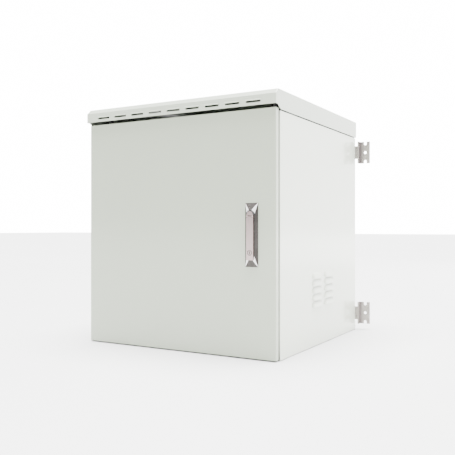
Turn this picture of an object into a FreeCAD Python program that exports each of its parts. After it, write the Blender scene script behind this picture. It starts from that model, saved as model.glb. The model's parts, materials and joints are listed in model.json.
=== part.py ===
import FreeCAD, Part
import math
import os
import re

import Sketcher

# A wall-mounted, 600 mm wide, 12U battery cabinet of folded sheet steel.
# Frame: X to the right, Y to the back, Z up, origin under the middle of the whole cabinet.
# Lengths are in millimetres; a size that begins with "=" follows from the ones it names.

DIMENSIONS = [
    ("body_width", "600", "outside width over the side panels"),
    ("body_height", "618.9", "floor flange to the top of the top panel"),
    ("body_front", "-279", "front face of the front frame"),
    ("body_back", "292", "rear face of the back panel"),
    ("wall_plane", "=body_back + 18", "face of the wall the brackets stand on"),
    ("skin", "1.5", "sheet thickness"),
    ("panel_in", "=body_width / 2 - skin", "inner face of a side panel"),
    ("door_face", "=body_front - 19", "outer face of the door"),
    ("door_depth", "15", "depth of the door returns"),
    ("door_half", "=body_width / 2 - 2.5", "half the door width"),
    ("door_bottom", "2", "lower edge of the door"),
    ("door_top", "=body_height + 7.1", "upper edge of the door"),
    ("door_fold", "2.5", "outer radius of the door folds"),
    ("door_lip", "11.5", "width of the lip turned in behind the door"),
    ("lip_half", "262", "half width of the rain lip round the opening"),
    ("lip_low", "37.5", "underside of the rain lip"),
    ("lip_high", "=body_height - 28.4", "top of the rain lip"),
    ("lip_front", "=body_front - 11", "front edge of the rain lip"),
    ("seal_half", "5", "half the width of the door gasket"),
    ("seal_face", "=lip_front - 0.3", "face of the gasket nearest the rain lip"),
    ("roof_front", "=door_face - 10", "front face of the roof fascia"),
    ("roof_half", "=body_width / 2 + 2.5", "half width of the roof"),
    ("roof_back", "=body_back + 2.5", "rear face of the roof"),
    ("roof_top", "=body_height + 52.1", "top of the roof"),
    ("fascia_low", "=roof_top - 38.5", "lower edge of the fascia"),
    ("fascia_high", "=roof_top - 13", "fold between fascia and chamfer"),
    ("chamfer_run", "15", "depth of the chamfer"),
    ("skirt_low", "=body_height + 2.6", "lower edge of the side skirts"),
    ("slot_pitch", "=body_width / 10", "pitch of the fascia slots"),
    ("slot_length", "42", "length of a fascia slot"),
    ("slot_height", "4.7", "height of a fascia slot"),
    ("slot_level", "=fascia_low + 9.5", "height of the slot centres"),
    ("slot_brow", "1.8", "how far the drip hood over a slot stands out"),
    ("louvre_low", "110.2", "open lower edge of the lowest louvre"),
    ("louvre_pitch", "20", "vertical pitch of the louvres"),
    ("louvre_height", "15.5", "height of a louvre"),
    ("louvre_reach", "6", "how far a louvre stands out"),
    ("louvre_length", "78", "length of a louvre"),
    ("louvre_column", "90", "pitch of the two louvre columns"),
    ("louvre_middle", "8", "middle of the louvre field"),
    ("louvre_wall", "1.2", "metal left at a drawn louvre"),
    ("bracket_gauge", "3", "wall bracket thickness"),
    ("bracket_half", "=body_width / 2 + 43.5", "outer edge of the wall brackets"),
    ("bracket_web", "=body_width / 2 + 12.5", "outer face of the bracket web"),
    ("bracket_height", "70", "height of a wall bracket"),
    ("bracket_neck", "41", "height of the narrow bracket tongue"),
    ("bracket_hole", "=body_width / 2 + 28.7", "wall hole distance from the middle"),
    ("bracket_low", "53.7", "height of the lower brackets"),
    ("bracket_high", "=bracket_low + 519.5", "height of the upper brackets"),
    ("rack_half", "225", "half the clear width between the uprights"),
    ("rack_hole", "=rack_half + 7.5", "rack hole distance from the middle"),
    ("rack_face", "225", "distance of the rack planes from the middle"),
    ("rack_low", "47", "underside of the first rack unit"),
    ("rack_unit", "44.45", "height of one rack unit"),
    ("rack_gauge", "2", "upright thickness"),
    ("shelf_half", "=rack_half - 3", "half the width of a shelf"),
    ("shelf_low", "=rack_low + 4", "top of the lower shelf"),
    ("shelf_high", "=shelf_low + 6 * rack_unit", "top of the upper shelf"),
    ("plate_level", "30", "top of the base panel"),
    ("gland_pitch", "60", "pitch of the cable glands"),
    ("gland_depth", "150", "how far back the glands sit"),
    ("gland_bore", "6.5", "bore radius of a gland"),
    ("fan_half", "60", "half the width of the fan"),
    ("fan_depth", "25", "depth of the fan"),
    ("hinge_x", "=8 - door_half", "door hinge axis"),
    ("hinge_y", "=door_face + 6.5", "door hinge axis"),
    ("hinge_low", "120", "height of the lower hinge"),
    ("hinge_high", "=hinge_low + 388", "height of the upper hinge"),
    ("handle_x", "231", "middle of the handle"),
    ("handle_low", "=spindle_z - 131", "lower end of the escutcheon"),
    ("handle_high", "=spindle_z + 29", "upper end of the escutcheon"),
    ("handle_half", "18", "half width of the escutcheon"),
    ("spindle_z", "362.5", "height of the handle spindle"),
    ("lever_half", "9.75", "half width of the lever"),
    ("cap_radius", "8.4", "radius of the boss inside its black collar"),
    ("lever_face", "12", "face of the lever above the door"),
    ("lever_back", "7", "back of the lever above the door"),
    ("lever_tip", "=spindle_z - 113.5", "lower end of the lever"),
    ("lever_pivot", "=spindle_z - 5", "height of the lever pin"),
    ("crest", "6.5", "height of the escutcheon under the lever"),
    ("lock_z", "=spindle_z - 95", "height of the lock cylinder"),
    ("gear_module", "1.5", "module of the rod drive"),
    ("gear_teeth", "14", "teeth of the drive pinion"),
    ("rod_front", "=body_front + 3", "front face of the lock rods"),
    ("rod_gauge", "4", "thickness of the lock rods"),
    ("bolt_radius", "3", "shank radius of the M6 fasteners"),
    ("bolt_head", "5", "head radius of the M6 fasteners"),
    ("bolt_clear", "=bolt_radius + 0.3", "radius of a clearance hole for M6"),
]

doc = FreeCAD.newDocument("battery_box")
sheet = doc.addObject("Spreadsheet::Sheet", "Dims")
for row, (alias, _, meaning) in enumerate(DIMENSIONS, start=1):
    sheet.set(f"A{row}", meaning)
    sheet.setAlias(f"B{row}", alias)
for row, (_, size, _) in enumerate(DIMENSIONS, start=1):
    sheet.set(f"B{row}", size)
doc.recompute()

ALIASES = re.compile(r"\b(" + "|".join(alias for alias, _, _ in DIMENSIONS) + r")\b")
NODES = []
X_AXIS, Y_AXIS, Z_AXIS = FreeCAD.Vector(1, 0, 0), FreeCAD.Vector(0, 1, 0), FreeCAD.Vector(0, 0, 1)


# ---- small tools ------------------------------------------------------------------

def value(text):
    """The number a sheet expression has now."""
    return float(sheet.evalExpression(str(text)))


def bind(target, prop, text):
    """Ties one property to an expression over the sheet."""
    target.setExpression(prop, ALIASES.sub(r"Dims.\1", str(text)))


def node(label, shape):
    """Names a finished piece and puts it on the list that is written out."""
    shape.Label = label
    NODES.append(shape)
    return shape


def unique(name):
    return f"{name}_{len(doc.Objects)}"


def box(x, y, z):
    """A block between two expressions along each axis."""
    block = doc.addObject("Part::Box", unique("block"))
    for size, axis, (low, high) in zip(("Length", "Width", "Height"), "xyz", (x, y, z)):
        bind(block, size, f"({high}) - ({low})")
        bind(block, f"Placement.Base.{axis}", low)
    return block


def rod(axis, base, radius, length):
    """A round bar from a base point along +X, +Y or +Z."""
    bar = doc.addObject("Part::Cylinder", unique("bar"))
    turns = {"X": FreeCAD.Rotation(Y_AXIS, 90), "Y": FreeCAD.Rotation(X_AXIS, -90),
             "Z": FreeCAD.Rotation()}
    bar.Placement = FreeCAD.Placement(FreeCAD.Vector(), turns[axis])
    bind(bar, "Radius", radius)
    bind(bar, "Height", length)
    for letter, text in zip("xyz", base):
        bind(bar, f"Placement.Base.{letter}", text)
    return bar


def fuse(*pieces):
    joined = doc.addObject("Part::MultiFuse", unique("joined"))
    joined.Shapes = list(pieces)
    joined.Refine = True
    return joined


def cut(base, *tools):
    removed = doc.addObject("Part::Cut", unique("cut"))
    removed.Base = base
    removed.Tool = tools[0] if len(tools) == 1 else group(*tools)
    return removed


def common(first, second):
    kept = doc.addObject("Part::Common", unique("kept"))
    kept.Base = first
    kept.Tool = second
    return kept


def group(*pieces):
    """Separate pieces kept together without joining them."""
    together = doc.addObject("Part::Compound", unique("group"))
    together.Links = list(pieces)
    return together


def mirrored(source, normal=X_AXIS):
    image = doc.addObject("Part::Mirroring", unique("mirror"))
    image.Source = source
    image.Normal = normal
    return image


def new_body(label):
    return doc.addObject("PartDesign::Body", label)


def sketch_on(body, plane, offset="0"):
    """An empty sketch on one of the body's own planes, moved along that plane's normal."""
    sketch = body.newObject("Sketcher::SketchObject", unique("sketch"))
    role = {"XY": "XY_Plane", "XZ": "XZ_Plane", "YZ": "YZ_Plane"}[plane]
    own_plane = next(f for f in body.Origin.OriginFeatures if f.Role == role)
    sketch.AttachmentSupport = (own_plane, [""])
    sketch.MapMode = "FlatFace"
    # The XZ plane looks along -Y, so a position along Y is turned round for it.
    bind(sketch, "AttachmentOffset.Base.z", f"-({offset})" if plane == "XZ" else offset)
    return sketch


def polygon(sketch, corners):
    """A closed outline whose corners are pairs of expressions."""
    points = [FreeCAD.Vector(value(a), value(b), 0) for a, b in corners]
    first = sketch.GeometryCount
    for number in range(len(points)):
        following = (number + 1) % len(points)
        sketch.addGeometry(Part.LineSegment(points[number], points[following]), False)
    for number in range(len(points)):
        following = first + (number + 1) % len(points)
        sketch.addConstraint(Sketcher.Constraint("Coincident", first + number, 2, following, 1))
    for number, (across, up) in enumerate(corners):
        for kind, text in (("DistanceX", across), ("DistanceY", up)):
            line = Sketcher.Constraint(kind, -1, 1, first + number, 1, value(text))
            bind(sketch, f"Constraints[{sketch.addConstraint(line)}]", text)
    return sketch


def rectangle(sketch, across, up):
    return polygon(sketch, [(across[0], up[0]), (across[1], up[0]),
                            (across[1], up[1]), (across[0], up[1])])


def circle(sketch, across, up, radius):
    centre = FreeCAD.Vector(value(across), value(up), 0)
    ring = sketch.addGeometry(Part.Circle(centre, Z_AXIS, value(radius)), False)
    for line, text in ((Sketcher.Constraint("DistanceX", -1, 1, ring, 3, centre.x), across),
                       (Sketcher.Constraint("DistanceY", -1, 1, ring, 3, centre.y), up),
                       (Sketcher.Constraint("Radius", ring, value(radius)), radius)):
        bind(sketch, f"Constraints[{sketch.addConstraint(line)}]", text)
    return sketch


def pad(body, sketch, length, both=False, reverse=False):
    solid = body.newObject("PartDesign::Pad", unique("pad"))
    solid.Profile = sketch
    solid.Midplane = both
    solid.Reversed = reverse
    bind(solid, "Length", length)
    return solid


def pocket(body, sketch, length, both=False, reverse=False):
    hollow = body.newObject("PartDesign::Pocket", unique("pocket"))
    hollow.Profile = sketch
    hollow.Type = "Length"
    hollow.Midplane = both
    hollow.Reversed = reverse
    bind(hollow, "Length", length)
    return hollow


def pattern(body, features, sketch, steps):
    """Repeats features along the sketch axes; steps are (axis, length, number)."""
    lines = []
    for axis, length, number in steps:
        line = doc.addObject("PartDesign::LinearPattern", unique("row"))
        line.Direction = (sketch, [axis])
        bind(line, "Length", length)
        line.Occurrences = number
        lines.append(line)
    repeat = body.newObject("PartDesign::MultiTransform", unique("pattern"))
    repeat.Originals = features
    repeat.Transformations = lines
    body.Tip = repeat
    return repeat


def round_edges(body, radius, wanted):
    """Rounds the tip's straight edges for which wanted(start, end) holds."""
    doc.recompute()
    tip = body.Tip
    names = []
    for number, edge in enumerate(tip.Shape.Edges, start=1):
        if len(edge.Vertexes) == 2 and wanted(edge.Vertexes[0].Point, edge.Vertexes[1].Point):
            names.append(f"Edge{number}")
    fold = body.newObject("PartDesign::Fillet", unique("fold"))
    fold.Base = (tip, names)
    bind(fold, "Radius", radius)
    return fold


def coded(shape):
    """A piece whose surface neither sketches nor primitives can give."""
    piece = doc.addObject("Part::Feature", unique("shape"))
    piece.Shape = shape
    piece.Placement = FreeCAD.Placement()
    return piece


def faceted(corners, faces):
    """A solid bounded by flat faces, each a tuple of corner names."""
    shells = []
    for names in faces:
        loop = [FreeCAD.Vector(*corners[name]) for name in names]
        shells.append(Part.Face(Part.makePolygon(loop + loop[:1])))
    return Part.Solid(Part.Shell(shells))


def bolt(base, axis, inward, length, head="bolt_head", head_height="3.5", shank="bolt_radius"):
    """A headed screw: the head stands at base, the shank runs inward from it."""
    x, y, z = base
    along = "XYZ".index(axis)
    back = [x, y, z]
    start = [x, y, z]
    if inward > 0:
        back[along] = f"({back[along]}) - ({head_height})"
    else:
        start[along] = f"({start[along]}) - ({length})"
    return fuse(rod(axis, back, head, head_height), rod(axis, start, shank, length))


# ---- the cabinet body -------------------------------------------------------------

def louvre_profile(sketch):
    """The bowed section of a louvre hood, drawn at its open lower edge."""
    bow = "((louvre_height^2 + louvre_reach^2) / (2 * louvre_reach))"
    centre_x = f"(panel_in + skin + louvre_reach - {bow})"
    root = "panel_in + 0.5"
    radii = (bow, f"({bow} - louvre_wall)")
    x, z = value(centre_x), value("louvre_low")
    arcs = []
    for radius in radii:
        sweep = math.acos((value(root) - x) / value(radius))
        ring = Part.Circle(FreeCAD.Vector(x, z, 0), Z_AXIS, value(radius))
        arcs.append(Part.ArcOfCircle(ring, 0, sweep))
        sketch.addGeometry(arcs[-1], False)
    sketch.addGeometry(Part.LineSegment(arcs[0].StartPoint, arcs[1].StartPoint), False)
    sketch.addGeometry(Part.LineSegment(arcs[0].EndPoint, arcs[1].EndPoint), False)
    for first, end, second, other in ((0, 1, 2, 1), (1, 1, 2, 2), (0, 2, 3, 1), (1, 2, 3, 2)):
        sketch.addConstraint(Sketcher.Constraint("Coincident", first, end, second, other))
    for arc, radius in enumerate(radii):
        for line, text in (
                (Sketcher.Constraint("DistanceX", -1, 1, arc, 3, x), centre_x),
                (Sketcher.Constraint("DistanceY", -1, 1, arc, 3, z), "louvre_low"),
                (Sketcher.Constraint("Radius", arc, value(radius)), radius),
                (Sketcher.Constraint("DistanceY", -1, 1, arc, 1, z), "louvre_low"),
                (Sketcher.Constraint("DistanceX", -1, 1, arc, 2, value(root)), root)):
            bind(sketch, f"Constraints[{sketch.addConstraint(line)}]", text)


def louvre_opening(sketch, left, right, height):
    """A slot with rounded upper corners, as wide as the hood is inside."""
    low = value("louvre_low")
    ends = []
    for centre, begin, finish in ((right, 0, math.pi / 2), (left, math.pi / 2, math.pi)):
        ring = Part.Circle(FreeCAD.Vector(value(centre), low, 0), Z_AXIS, value(height))
        ends.append(Part.ArcOfCircle(ring, begin, finish))
        sketch.addGeometry(ends[-1], False)
    sketch.addGeometry(Part.LineSegment(ends[0].EndPoint, ends[1].StartPoint), False)
    sketch.addGeometry(Part.LineSegment(ends[1].EndPoint, ends[0].StartPoint), False)
    for first, end, second, other in ((0, 2, 2, 1), (1, 1, 2, 2), (1, 2, 3, 1), (0, 1, 3, 2)):
        sketch.addConstraint(Sketcher.Constraint("Coincident", first, end, second, other))
    for arc, centre in enumerate((right, left)):
        for line, text in (
                (Sketcher.Constraint("DistanceX", -1, 1, arc, 3, value(centre)), centre),
                (Sketcher.Constraint("DistanceY", -1, 1, arc, 3, low), "louvre_low"),
                (Sketcher.Constraint("Radius", arc, value(height)), height)):
            bind(sketch, f"Constraints[{sketch.addConstraint(line)}]", text)


def side_panels():
    body = new_body("side_panel_sheet")
    outline = [("panel_in + skin", "0"), ("panel_in + skin", "body_height"),
               ("panel_in", "body_height"), ("panel_in", "skin"),
               ("panel_in - 25", "skin"), ("panel_in - 25", "0")]
    pad(body, polygon(sketch_on(body, "XZ", "body_front"), outline),
        "body_back - body_front", reverse=True)
    round_edges(body, "2.4", lambda a, b: abs(a.x - b.x) < 1e-6 and a.x > 299 and a.z < 0.01
                and b.z < 0.01)
    feet = sketch_on(body, "XY", "skin")
    for along in ("-200", "200"):
        circle(feet, "panel_in - 14", along, "4.5")
    pocket(body, feet, "skin + 1")

    bow = "((louvre_height^2 + louvre_reach^2) / (2 * louvre_reach))"
    opening_height = f"(sqrt(({bow} - louvre_wall)^2 - ({bow} - louvre_reach)^2) - 0.01)"
    middle = "(louvre_middle - louvre_column / 2)"
    left = f"{middle} - louvre_length / 2 + louvre_height"
    right = f"{middle} + louvre_length / 2 - louvre_height"
    opening = sketch_on(body, "YZ", "panel_in + skin")
    louvre_opening(opening, left, right, opening_height)
    hole = pocket(body, opening, "skin + 1")

    straight = sketch_on(body, "XZ", left)
    louvre_profile(straight)
    hood = pad(body, straight, "louvre_length - 2 * louvre_height", reverse=True)
    ends = []
    for place, turned in ((right, True), (left, False)):
        end = sketch_on(body, "XZ", place)
        louvre_profile(end)
        low = value("louvre_low")
        hinge = Part.LineSegment(FreeCAD.Vector(290, low, 0), FreeCAD.Vector(310, low, 0))
        line = end.addGeometry(hinge, True)
        for kind, point, across in (("DistanceX", 1, "panel_in - 8"), ("DistanceX", 2, "panel_in + 12")):
            tie = Sketcher.Constraint(kind, -1, 1, line, point, value(across))
            bind(end, f"Constraints[{end.addConstraint(tie)}]", across)
        for point in (1, 2):
            tie = Sketcher.Constraint("DistanceY", -1, 1, line, point, low)
            bind(end, f"Constraints[{end.addConstraint(tie)}]", "louvre_low")
        dome = body.newObject("PartDesign::Revolution", unique("dome"))
        dome.Profile = end
        dome.ReferenceAxis = (end, ["Axis0"])
        dome.Angle = 90
        dome.Reversed = turned
        ends.append(dome)
    pattern(body, [hole, hood] + ends, opening,
            [("V_Axis", "4 * louvre_pitch", 5), ("H_Axis", "louvre_column", 2)])
    node("right_side_panel", body)
    node("left_side_panel", mirrored(body))


def back_panel():
    body = new_body("back_panel_sheet")
    outline = [("-panel_in", "body_back"), ("panel_in", "body_back"),
               ("panel_in", "body_back - 16"), ("panel_in - skin", "body_back - 16"),
               ("panel_in - skin", "body_back - skin"), ("skin - panel_in", "body_back - skin"),
               ("skin - panel_in", "body_back - 16"), ("-panel_in", "body_back - 16")]
    pad(body, polygon(sketch_on(body, "XY", "skin"), outline), "body_height - 2 * skin")
    holes = sketch_on(body, "XZ", "body_back")
    for side in ("-", ""):
        for level in ("bracket_low", "bracket_high"):
            for step in ("-11", "+11"):
                circle(holes, f"{side}288", f"{level} {step}", "bolt_clear")
    pocket(body, holes, "4", both=True)
    node("back_panel", body)


def top_panel():
    body = new_body("top_panel_sheet")
    outline = [("-panel_in", "body_height"), ("panel_in", "body_height"),
               ("panel_in", "body_height - 16"), ("panel_in - skin", "body_height - 16"),
               ("panel_in - skin", "body_height - skin"),
               ("skin - panel_in", "body_height - skin"),
               ("skin - panel_in", "body_height - 16"), ("-panel_in", "body_height - 16")]
    pad(body, polygon(sketch_on(body, "XZ", "body_front + skin"), outline),
        "body_back - 17.5 - body_front - skin", reverse=True)
    tail = rectangle(sketch_on(body, "XY", "body_height - skin"),
                     ("-panel_in", "panel_in"), ("body_back - 17.5", "body_back"))
    pad(body, tail, "skin")
    holes = sketch_on(body, "XY", "body_height")
    circle(holes, "0", "0", "fan_half - 2.5")
    for side in ("-", ""):
        for end in ("-", ""):
            circle(holes, f"{side}52.5", f"{end}52.5", "2.2")
            circle(holes, f"{side}270", f"{end}240", "bolt_clear")
    pocket(body, holes, "skin + 1")
    node("top_panel", body)


def base_panel():
    body = new_body("base_panel_sheet")
    outline = [("-panel_in", "plate_level"), ("panel_in", "plate_level"),
               ("panel_in", "skin"), ("panel_in - skin", "skin"),
               ("panel_in - skin", "plate_level - skin"),
               ("skin - panel_in", "plate_level - skin"),
               ("skin - panel_in", "skin"), ("-panel_in", "skin")]
    pad(body, polygon(sketch_on(body, "XZ", "body_front + skin"), outline),
        "body_back - 17 - body_front - skin", reverse=True)
    tail = rectangle(sketch_on(body, "XY", "plate_level - skin"),
                     ("skin - panel_in", "panel_in - skin"),
                     ("body_back - 17", "body_back - skin"))
    pad(body, tail, "skin")
    holes = sketch_on(body, "XY", "plate_level")
    rectangle(holes, ("-110", "110"), ("gland_depth - 30", "gland_depth + 30"))
    for side in ("-", ""):
        for end in ("-40", "+40"):
            circle(holes, f"{side}90", f"gland_depth {end}", "2")
    circle(holes, "-255", "230", "4.5")
    pocket(body, holes, "skin + 1")
    node("base_panel", body)


def front_frame():
    ring = cut(box(("-panel_in", "panel_in"), ("body_front", "body_front + skin"),
                   ("skin", "body_height - skin")),
               box(("skin - lip_half", "lip_half - skin"), ("body_front - 1", "body_front + 3"),
                   ("lip_low + skin", "lip_high - skin")))
    lip = cut(box(("-lip_half", "lip_half"), ("lip_front", "body_front"), ("lip_low", "lip_high")),
              box(("skin - lip_half", "lip_half - skin"), ("lip_front - 1", "body_front + 1"),
                  ("lip_low + skin", "lip_high - skin")))
    node("front_frame", fuse(ring, lip))


# ---- roof -------------------------------------------------------------------------

def roof_canopy():
    body = new_body("roof_sheet")
    outline = [("roof_front", "fascia_low"), ("roof_front", "fascia_high"),
               ("roof_front + chamfer_run", "roof_top"), ("roof_back", "roof_top"),
               ("roof_back", "skirt_low"), ("body_front", "skirt_low"),
               ("roof_front + 12", "fascia_low")]
    pad(body, polygon(sketch_on(body, "YZ"), outline), "2 * roof_half", both=True)
    folds = (value("roof_front"), value("fascia_high")), (
        value("roof_front + chamfer_run"), value("roof_top"))
    sides = value("roof_half")

    def is_fold(a, b):
        across = any(abs(a.y - y) < 0.01 and abs(a.z - z) < 0.01 and abs(b.y - y) < 0.01
                     and abs(b.z - z) < 0.01 for y, z in folds)
        along_side = (abs(abs(a.x) - sides) < 0.01 and abs(a.x - b.x) < 0.01
                      and min(a.z, b.z) > value("fascia_low") - 0.01
                      and max(a.y, b.y) < value("roof_back") + 0.01
                      and (abs(a.z - b.z) > 0.1 or a.z > value("roof_top") - 0.01)
                      and min(a.y, b.y) < value("roof_back") - 1)
        return across or along_side
    round_edges(body, "2", is_fold)
    hollow = [("roof_front + skin", "skirt_low - 5"),
              ("roof_front + skin", "fascia_high - 0.6"),
              ("roof_front + chamfer_run + 0.6", "roof_top - skin"),
              ("roof_back - skin", "roof_top - skin"),
              ("roof_back - skin", "skirt_low - 5")]
    pocket(body, polygon(sketch_on(body, "YZ"), hollow), "2 * roof_half - 2 * skin", both=True)
    slot = sketch_on(body, "XZ", "roof_front")
    half = "(slot_length - slot_height) / 2"
    rectangle(slot, (f"-4 * slot_pitch - {half}", f"{half} - 4 * slot_pitch"),
              ("slot_level - slot_height / 2", "slot_level + slot_height / 2"))
    slit = pocket(body, slot, "2 * skin + 1", both=True)
    ends = sketch_on(body, "XZ", "roof_front")
    for side in ("-", "+"):
        circle(ends, f"-4 * slot_pitch {side} {half}", "slot_level", "slot_height / 2")
    tips = pocket(body, ends, "2 * skin + 1", both=True)
    brow = sketch_on(body, "YZ", "-4 * slot_pitch - slot_length / 2")
    upper = "slot_level + slot_height / 2"
    polygon(brow, [("roof_front + 0.5", upper), ("roof_front - slot_brow", f"{upper} + 0.4"),
                   ("roof_front - slot_brow", f"{upper} + 1.2"), ("roof_front + 0.5", f"{upper} + 4.2")])
    lip = pad(body, brow, "slot_length")
    pattern(body, [slit, tips, lip], slot, [("H_Axis", "8 * slot_pitch", 9)])
    node("roof_canopy", body)


def roof_fixings():
    corners = [(f"{side}270", f"{end}240") for side in ("-", "") for end in ("-", "")]
    spacers = [rod("Z", (x, y, "body_height"), "7", "roof_top - skin - body_height")
               for x, y in corners]
    bores = [rod("Z", (x, y, "body_height - 1"), "bolt_clear", "26") for x, y in corners]
    node("roof_spacers", cut(group(*spacers), *bores))
    bolts = [fuse(rod("Z", (x, y, "body_height - skin - 3.5"), "bolt_head", "3.5"),
                  rod("Z", (x, y, "body_height - skin"), "bolt_radius", "22")) for x, y in corners]
    node("roof_bolts", group(*bolts))


# ---- wall brackets ----------------------------------------------------------------

def wall_bracket(label, side, level):
    """A Z-shaped bracket: tongue behind the body, web out to the wall, holed wall flange."""
    half = "bracket_height / 2"
    tongue = box(("262", "bracket_web - 1"), ("body_back", "body_back + bracket_gauge"),
                 (f"{level} - bracket_neck / 2", f"{level} + bracket_neck / 2"))
    strip = box(("bracket_web - 4.5", "bracket_web"), ("body_back", "body_back + bracket_gauge"),
                (f"{level} - {half}", f"{level} + {half}"))
    web = box(("bracket_web - bracket_gauge", "bracket_web"), ("body_back", "wall_plane"),
              (f"{level} - {half}", f"{level} + {half}"))
    flange = box(("bracket_web - bracket_gauge", "bracket_half"),
                 ("wall_plane - bracket_gauge", "wall_plane"),
                 (f"{level} - {half}", f"{level} + {half}"))
    holes = [rod("Y", ("bracket_hole", "wall_plane - 6", level), "4.75", "12")]
    for end, sign in ((f"{level} - {half}", "+"), (f"{level} + {half}", "-")):
        holes.append(rod("Y", ("bracket_hole", "wall_plane - 6", f"{end} {sign} 6.5"), "4.75", "12"))
        low, high = (f"{end} - 1", f"{end} + 6.5") if sign == "+" else (f"{end} - 6.5", f"{end} + 1")
        holes.append(box(("bracket_hole - 4.75", "bracket_hole + 4.75"),
                         ("wall_plane - 6", "wall_plane + 6"), (low, high)))
    for step in ("-11", "+11"):
        holes.append(rod("Y", ("288", "body_back - 1", f"{level} {step}"), "bolt_clear", "6"))
    right = cut(fuse(tongue, strip, web, flange), *holes)
    node(label, right if side > 0 else mirrored(right))


def wall_brackets():
    for name, side in (("left", -1), ("right", 1)):
        for place in ("low", "high"):
            word = {"low": "lower", "high": "upper"}[place]
            wall_bracket(f"wall_bracket_{word}_{name}", side, f"bracket_{place}")
    bolts = []
    for side in ("-", ""):
        for level in ("bracket_low", "bracket_high"):
            for step in ("-11", "+11"):
                place = (f"{side}288", "body_back + bracket_gauge", f"{level} {step}")
                nut = (f"{side}288", "body_back - skin - 4.5", f"{level} {step}")
                bolts.append(fuse(rod("Y", place, "bolt_head", "4"),
                                  rod("Y", nut, "bolt_radius", "bracket_gauge + skin + 4.6"),
                                  rod("Y", nut, "bolt_head", "4.5")))
    node("bracket_bolts", group(*bolts))


# ---- equipment inside -------------------------------------------------------------

def rack_upright():
    body = new_body("upright_sheet")
    outline = [("rack_half", "-rack_face"), ("rack_half + 22", "-rack_face"),
               ("rack_half + 22", "28 - rack_face"),
               ("rack_half + 22 - rack_gauge", "28 - rack_face"),
               ("rack_half + 22 - rack_gauge", "rack_gauge - rack_face"),
               ("rack_half", "rack_gauge - rack_face")]
    pad(body, polygon(sketch_on(body, "XY", "rack_low - 5"), outline), "12 * rack_unit + 10")
    squares = sketch_on(body, "XZ", "-rack_face")
    for step in ("rack_unit / 7", "rack_unit / 2", "6 * rack_unit / 7"):
        middle = f"rack_low + {step}"
        rectangle(squares, ("rack_hole - 4.75", "rack_hole + 4.75"),
                  (f"{middle} - 4.75", f"{middle} + 4.75"))
    holes = pocket(body, squares, "3 * rack_gauge", both=True)
    pattern(body, [holes], squares, [("V_Axis", "11 * rack_unit", 12)])
    bores = sketch_on(body, "YZ", "rack_half + 22")
    for low in ("60", "548"):
        circle(bores, "-208", f"{low} + 13", "2.7")
    pocket(body, bores, "rack_gauge + 1")
    return body


def rack():
    upright = rack_upright()
    node("rack_upright_front_right", upright)
    node("rack_upright_front_left", mirrored(upright))
    rear = mirrored(upright, Y_AXIS)
    node("rack_upright_rear_right", rear)
    node("rack_upright_rear_left", mirrored(rear))
    outer = "rack_half + 22"
    rails, screws = [], []
    for side in (1, -1):
        for low in ("60", "548"):
            floor = box((outer, "panel_in"), ("-215", "215"), (low, f"{low} + 2"))
            foot = box(("panel_in - 2", "panel_in"), ("-215", "215"), (low, f"{low} + 24"))
            face = box((outer, f"{outer} + 2"), ("-215", "215"), (low, f"{low} + 24"))
            rail = cut(fuse(floor, foot, face),
                       *[rod("X", (f"{outer} - 1", end, f"{low} + 13"), "2.7", "4")
                         for end in ("-208", "208")])
            rails.append(rail if side > 0 else mirrored(rail))
            for end in ("-208", "208"):
                screw = bolt((f"{outer} + 2 - 4", end, f"{low} + 13"), "X", 1, "7",
                             head="4.5", head_height="2.6", shank="2.5")
                screws.append(screw if side > 0 else mirrored(screw))
    node("rack_depth_rails", group(*rails))
    node("rack_screws", group(*screws))


def shelf(label, top):
    """A tray carried front and rear on ears that lie on the rack planes."""
    plate = box(("-shelf_half", "shelf_half"), ("-rack_face - 2", "rack_face + 2"),
                (f"{top} - 2", top))
    parts = [plate]
    for front, back in (("-rack_face - 2", "-rack_face"), ("rack_face", "rack_face + 2")):
        parts.append(box(("-241", "241"), (front, back), (f"{top} - 2", f"{top} + 38")))
    for inner, outer in (("shelf_half - 2", "shelf_half"), ("-shelf_half", "2 - shelf_half")):
        parts.append(box((inner, outer), ("-rack_face", "rack_face"), (f"{top} - 2", f"{top} + 20")))
    tray = fuse(*parts)
    holes = [box(("-210", "210"), (front, back), (f"{top} + 8", f"{top} + 60"))
             for front, back in (("-rack_face - 4", "-rack_face + 2"),
                                 ("rack_face - 2", "rack_face + 4"))]
    for side in ("-", ""):
        for level in shelf_levels(top):
            for y in ("-rack_face - 4", "rack_face - 3"):
                holes.append(rod("Y", (f"{side}rack_hole", y, level), "bolt_clear", "7"))
    for column in range(-3, 4):
        for row in range(-2, 3):
            holes.append(box((f"{column * 60} - 18", f"{column * 60} + 18"),
                             (f"{row * 80} - 4", f"{row * 80} + 4"), (f"{top} - 5", f"{top} + 5")))
    node(label, cut(tray, *holes))


def shelf_levels(top):
    """The two rack holes that each shelf ear is screwed to."""
    first = {"shelf_low": "rack_low", "shelf_high": "(rack_low + 6 * rack_unit)"}[top]
    return [f"{first} + rack_unit / 2", f"{first} + 6 * rack_unit / 7"]


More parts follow.
